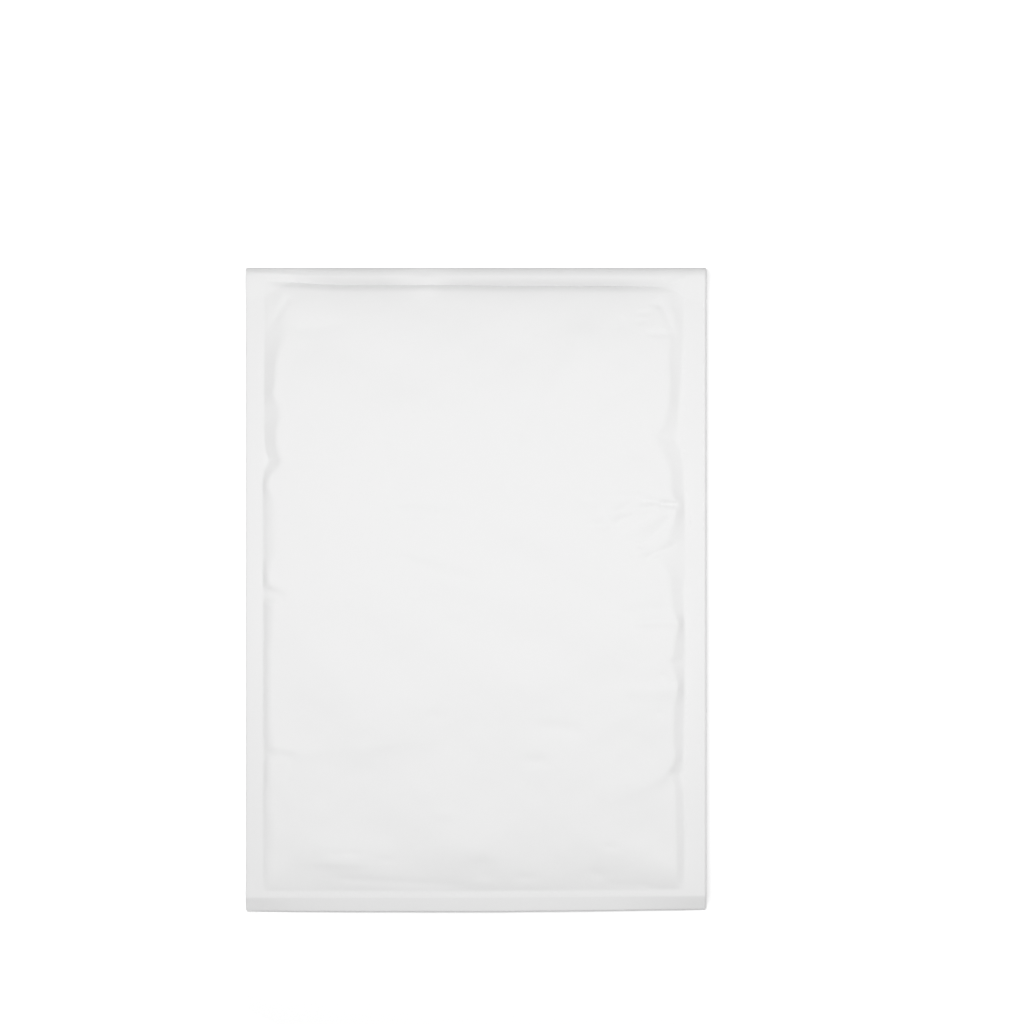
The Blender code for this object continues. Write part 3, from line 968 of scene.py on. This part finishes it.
class MAILER_OT_fold_paper(bpy.types.Operator):
    """Fold the paper sheet round the padding"""

    bl_idname = "mailer.fold_paper"
    bl_label = "Fold the paper"

    def execute(self, context):
        sizes = context.scene.mailer_sizes
        shape = SheetShape(sizes)
        points, web, shade = sheet_grid(shape)
        material = paper_finish(sizes, context.scene.mailer_colours)
        sheet = add_sheet("mailer_paper", points, shape.paper, material)
        attribute = sheet.data.attributes.new("web", "FLOAT_VECTOR", "POINT")
        attribute.data.foreach_set("vector", web.astype(np.float32).ravel())
        # The crease attribute carries painted shade into the paper's colour
        attribute = sheet.data.attributes.new("crease", "FLOAT", "POINT")
        attribute.data.foreach_set("value", shade.astype(np.float32).ravel())
        stand_for(sheet, "white_paper", "paper_envelope")
        return {"FINISHED"}


def film_heights(shape, x, y):
    """Middle of the two films, and how far inward they are: on the seam at the edges, and by smooth
    steps up to the middle of the padding well inside the creases.
    """
    seam = shape.seam_plane(x, y)
    from_edges = (
        x + shape.half - shape.left_seam - FILM_FLAT_SIDES,
        shape.half - x - shape.right_seam - FILM_FLAT_SIDES,
        y + shape.end - BOTTOM_BAND - FILM_FLAT_ENDS,
        shape.end - TOP_BAND - FILM_FLAT_ENDS - y,
    )
    inward = math.prod(level_step(away / FILM_EASE) for away in from_edges)
    middle = (shape.crown + shape.ground(y)) / 2
    return seam + inward * (middle - seam), inward


def film_layer(shape, side):
    """One film of the bag, side = 1 for the front one and -1 for the back one: a closed slab of even
    thickness at a small distance from the films' middle, with a wall round its rim.
    """
    reach = shape.half - FLANGE_SETBACK
    inner = shape.half - FILM_FINE_EDGE
    bend = shape.half - RIGHT_ROWS
    x = stations(-reach, (-inner, 0.003), (inner, 0.0065), (bend, 0.003), (reach, 0.0003))
    y = stations(-shape.end + BOTTOM_BAND + FILM_FROM_BAND, (shape.end - LINING_TOP, 0.0055))
    x, y = np.meshgrid(x, y)
    middle, inward = film_heights(shape, x, y)
    away = FILM + FILM_PARTING * inward
    outside = np.stack((x, y, middle + side * (away + FILM / 2)), axis=-1)
    inside = np.stack((x, y, middle + side * (away - FILM / 2)), axis=-1)
    rows, columns = x.shape
    quads = grid_faces(rows, columns)
    turned = (quads + rows * columns)[:, ::-1]
    numbers = np.arange(rows * columns).reshape(rows, columns)
    ring = np.concatenate((numbers[0, :-1], numbers[:-1, -1], numbers[-1, :0:-1], numbers[:0:-1, 0]))
    after = np.roll(ring, -1)
    walls = np.stack((ring, after, after + rows * columns, ring + rows * columns), axis=-1)
    faces = np.concatenate((quads, turned, walls))
    faces = faces if side < 0 else faces[:, ::-1]
    return np.concatenate((outside.reshape(-1, 3), inside.reshape(-1, 3))), faces


def bubble_rows(shape, sizes):
    """Centres of the bubbles: even rows, every second one moved by half a pitch."""
    pitch = sizes.bubble_pitch
    row_pitch = pitch * math.sqrt(3) / 2
    across = np.arange(-shape.half + BUBBLES_FROM_LEFT, shape.half - BUBBLES_FROM_EDGES, pitch)
    up = np.arange(-shape.end + BUBBLES_FROM_EDGES, shape.end - BUBBLES_FROM_EDGES, row_pitch)
    x, y = np.meshgrid(across, up)
    x = x + (np.arange(len(up))[:, None] % 2) * pitch / 2
    return x.ravel(), y.ravel()


def bubbles(shape, sizes, side):
    """Closed flat-topped domes on one film: rings of points whose radius and height follow a profile,
    scaled to the room between film and paper.
    """
    centre_x, centre_y = bubble_rows(shape, sizes)
    spokes = BUBBLE_SPOKES
    profile = np.array(BUBBLE_PROFILE)
    turn = np.linspace(0, 2 * math.pi, spokes, endpoint=False)
    radius = sizes.bubble / 2
    ring_x = profile[:, :1] * np.cos(turn)[None, :] * radius
    ring_y = profile[:, :1] * np.sin(turn)[None, :] * radius
    height = np.broadcast_to(profile[:, 1:], ring_x.shape)
    local = np.stack((ring_x.ravel(), ring_y.ravel(), height.ravel()), axis=-1)
    local = np.concatenate((local, [(0, 0, 1.0), (0, 0, 0.0)]))
    x = centre_x[:, None] + local[None, :, 0]
    y = centre_y[:, None] + local[None, :, 1]
    middle, inward = film_heights(shape, x, y)
    base = middle + side * (FILM + FILM_PARTING * inward)
    paper = shape.front_height(x, y) if side > 0 else shape.back_height(x, y)
    room = np.clip(side * (paper - base) - shape.paper / 2 - BUBBLE_ROOM, 0, None)
    tallest = room.min(axis=1, keepdims=True) * BUBBLE_TILT
    z = base + side * np.minimum(tallest, room) * local[None, :, 2]
    points = np.stack((x, y, z), axis=-1)
    first = np.arange(spokes)
    after = (first + 1) % spokes
    ring = np.stack((first, after, after + spokes, first + spokes), axis=-1)
    quads = np.concatenate([ring + k * spokes for k in range(len(profile) - 1)])
    last = (len(profile) - 1) * spokes
    top = np.stack((first + last, after + last, np.full(spokes, len(local) - 2)), axis=-1)
    under = np.stack((after, first, np.full(spokes, len(local) - 1)), axis=-1)
    fans = np.concatenate((top, under))
    if side < 0:
        quads = quads[:, ::-1]
        fans = fans[:, ::-1]
    keep = room.min(axis=1) > LOWEST_BUBBLE
    return points[keep].reshape(-1, 3), quads, fans, int(keep.sum()), len(local)


class MAILER_OT_line_with_film(bpy.types.Operator):
    """Line the mailer with a bag of bubble film"""

    bl_idname = "mailer.line_with_film"
    bl_label = "Line with bubble film"

    def execute(self, context):
        sizes = context.scene.mailer_sizes
        shape = SheetShape(sizes)
        points = []
        faces = []
        total = 0
        for side in (1, -1):
            slab, slab_faces = film_layer(shape, side)
            points.append(slab)
            faces += (slab_faces + total).tolist()
            total += len(slab)
            domes, quads, fans, count, size = bubbles(shape, sizes, side)
            shifts = total + np.arange(count)[:, None, None] * size
            faces += (quads[None] + shifts).reshape(-1, 4).tolist()
            faces += (fans[None] + shifts).reshape(-1, 3).tolist()
            points.append(domes)
            total += len(domes)
        material = film_finish(context.scene.mailer_colours)
        lining = add_mesh("mailer_lining", shape.squared(np.concatenate(points)), faces, material)
        stand_for(lining, "bubble_film", "bubble_lining")
        return {"FINISHED"}


def flat_strip(shape, name, near, far, level, thickness, material):
    """A straight strip across the flap, between two distances from the fold, at one level."""
    x = np.linspace(-shape.half + STRIP_SETBACK, shape.half - STRIP_SETBACK, 9)[None, :]
    y = np.linspace(shape.end - near, shape.end - far, 4)[:, None]
    points, _ = panel(x, y, level, 0)
    return add_sheet(name, points, thickness, material)


class MAILER_OT_close_flap(bpy.types.Operator):
    """Lay the glue band, its liner and the clear strip under the flap"""

    bl_idname = "mailer.close_flap"
    bl_label = "Lay the closure strips"

    def execute(self, context):
        shape = SheetShape(context.scene.mailer_sizes)
        colours = context.scene.mailer_colours
        near = LINER_FROM_FOLD + (LINER_WIDTH - ADHESIVE_WIDTH) / 2
        level = shape.paper + FILM_GAP + ADHESIVE / 2
        finish = strip_finish("hot melt glue", colours.glue, 0.28, 1, 300.0, 0.00002)
        glue = flat_strip(shape, "glue_band", near, near + ADHESIVE_WIDTH, level, ADHESIVE, finish)
        stand_for(glue, "glue_band", "flap_adhesive")

        level = shape.paper + ADHESIVE + 2 * FILM_GAP + LINER / 2
        finish = strip_finish("silicone paper", colours.liner, 0.24, 1, 500.0, 0.00001)
        far = LINER_FROM_FOLD + LINER_WIDTH
        liner = flat_strip(shape, "liner_strip", LINER_FROM_FOLD, far, level, LINER, finish)
        stand_for(liner, "liner_paper", "release_liner")

        reach = shape.half - STRIP_SETBACK
        x = np.unique(np.clip(column_stations(shape), -reach, reach))[None, :]
        near = shape.mouth_y - TAPE_FROM_MOUTH
        rows = back_stations(shape)
        rows = rows[(rows > near - TAPE_WIDTH - STRIP_MARGIN) & (rows < near + STRIP_MARGIN)][:, None]
        drop = shape.paper / 2 + FILM_GAP + TAPE / 2
        points, _ = panel(x, rows, shape.back_height(x, rows) - drop, 0)
        finish = strip_finish("clear tape", colours.tape, 0.05, 0.30, 90.0, 0.00012)
        tape = add_sheet("clear_strip", points, TAPE, finish)
        stand_for(tape, "clear_tape", "reopen_tape")
        return {"FINISHED"}


def backdrop_finish():
    """Pale matt floor: it shows as white and keeps the shadow close round the object, save beside the left
    and top sides, where painted light hides it.
    """
    material, finish = new_material("pale floor")
    seen = finish.ray("Is Camera Ray")
    glossy = finish.ray("Is Glossy Ray")
    passed = finish.ray("Is Transmission Ray")
    place = finish.object_place()
    centre = finish.node("ShaderNodeVectorMath", {"operation": "LENGTH"}, {"Vector": place}, "Value")
    far = (centre > FAR_FROM) * FAR_GLOW
    across = finish.part(place, "X")
    along = finish.part(place, "Y")
    # Painted light beside the mailer's left and top sides, which hides its shadow there
    painted_light_beside = (across < PAINTED_LIGHT_LEFT_OF).larger(along > PAINTED_LIGHT_BEYOND) * PAINTED_LIGHT_BESIDE_EDGES
    matt = finish.node("ShaderNodeBsdfDiffuse", {}, {"Color": FLOOR_TONE})
    white = finish.tinted((1, 1, 1), FLOOR_GLOW + far + painted_light_beside)
    glow = finish.node("ShaderNodeEmission", {}, {"Color": white})
    lit = finish.node("ShaderNodeAddShader", {}, {0: matt, 1: glow})
    share = seen.larger(glossy).larger(passed)
    finish.surface(finish.node("ShaderNodeMixShader", {}, {0: share, 1: matt, 2: lit}))
    return material


def light_the_world():
    """Even pale light from all round, and a white background for the camera."""
    world = bpy.data.worlds.new("studio")
    bpy.context.scene.world = world
    world.use_nodes = True
    finish = Finish(world.node_tree)
    seen = finish.ray("Is Camera Ray")
    sockets = {"Color": (1, 1, 1, 1), "Strength": SKY + (1 - SKY) * seen}
    light = finish.node("ShaderNodeBackground", {}, sockets)
    finish.surface(light, "ShaderNodeOutputWorld")


def add_camera():
    """The camera looks straight down from well above the table."""
    view = bpy.data.cameras.new("camera")
    view.sensor_width = SENSOR_WIDTH
    view.lens = SENSOR_WIDTH * (CAMERA_HEIGHT - PICTURE_LEVEL) / PICTURE_WIDTH
    view.clip_end = 10.0
    camera = add_object("camera", view)
    camera.location = (*CAMERA_PLACE, CAMERA_HEIGHT)
    bpy.context.scene.camera = camera


def add_lamp():
    """A long soft box over the mailer."""
    lamp = bpy.data.lights.new("soft box", "AREA")
    lamp.shape = "RECTANGLE"
    lamp.size, lamp.size_y = LAMP_SIZE
    lamp.energy = LAMP_WATTS
    box = add_object("soft box", lamp)
    box.location = LAMP_PLACE
    box.visible_camera = False


class MAILER_OT_set_stage(bpy.types.Operator):
    """Add the floor, the light and the camera"""

    bl_idname = "mailer.set_stage"
    bl_label = "Set the stage"

    def execute(self, context):
        corners = np.array(((-1, -1, 0), (1, -1, 0), (1, 1, 0), (-1, 1, 0))) * FLOOR_REACH
        corners = corners + (0, 0, FLOOR_LEVEL)
        floor = add_mesh("floor", corners, [(0, 1, 2, 3)], backdrop_finish())
        light_the_world()
        add_lamp()
        add_camera()
        context.scene.view_settings.view_transform = "Standard"
        return {"FINISHED"}


class MAILER_PT_panel(bpy.types.Panel):
    """Sidebar panel with the mailer's sizes, colours and steps"""

    bl_idname = "MAILER_PT_panel"
    bl_label = "Bubble mailer"
    bl_space_type = "VIEW_3D"
    bl_region_type = "UI"
    bl_category = "Mailer"

    def draw(self, context):
        layout = self.layout
        for group in (context.scene.mailer_sizes, context.scene.mailer_colours):
            column = layout.column()
            for name in group.bl_rna.properties.keys():
                if name not in ("rna_type", "name"):
                    column.prop(group, name)
        for step in STEPS_IN_ORDER:
            layout.operator(step.bl_idname)


STEPS_IN_ORDER = (
    MAILER_OT_set_stage,
    MAILER_OT_fold_paper,
    MAILER_OT_line_with_film,
    MAILER_OT_close_flap,
)
CLASSES = (MailerSizes, MailerColours, *STEPS_IN_ORDER, MAILER_PT_panel)


def register():
    """Adds the add-on's classes and its settings on the scene."""
    for item in CLASSES:
        bpy.utils.register_class(item)
    bpy.types.Scene.mailer_sizes = PointerProperty(type=MailerSizes)
    bpy.types.Scene.mailer_colours = PointerProperty(type=MailerColours)


def unregister():
    """Takes the settings and the classes away again."""
    del bpy.types.Scene.mailer_colours
    del bpy.types.Scene.mailer_sizes
    for item in reversed(CLASSES):
        bpy.utils.unregister_class(item)


def main():
    """Makes the stage and every piece."""
    register()
    bpy.ops.mailer.set_stage()
    bpy.ops.mailer.fold_paper()
    bpy.ops.mailer.line_with_film()
    bpy.ops.mailer.close_flap()


if __name__ == "__main__":
    main()
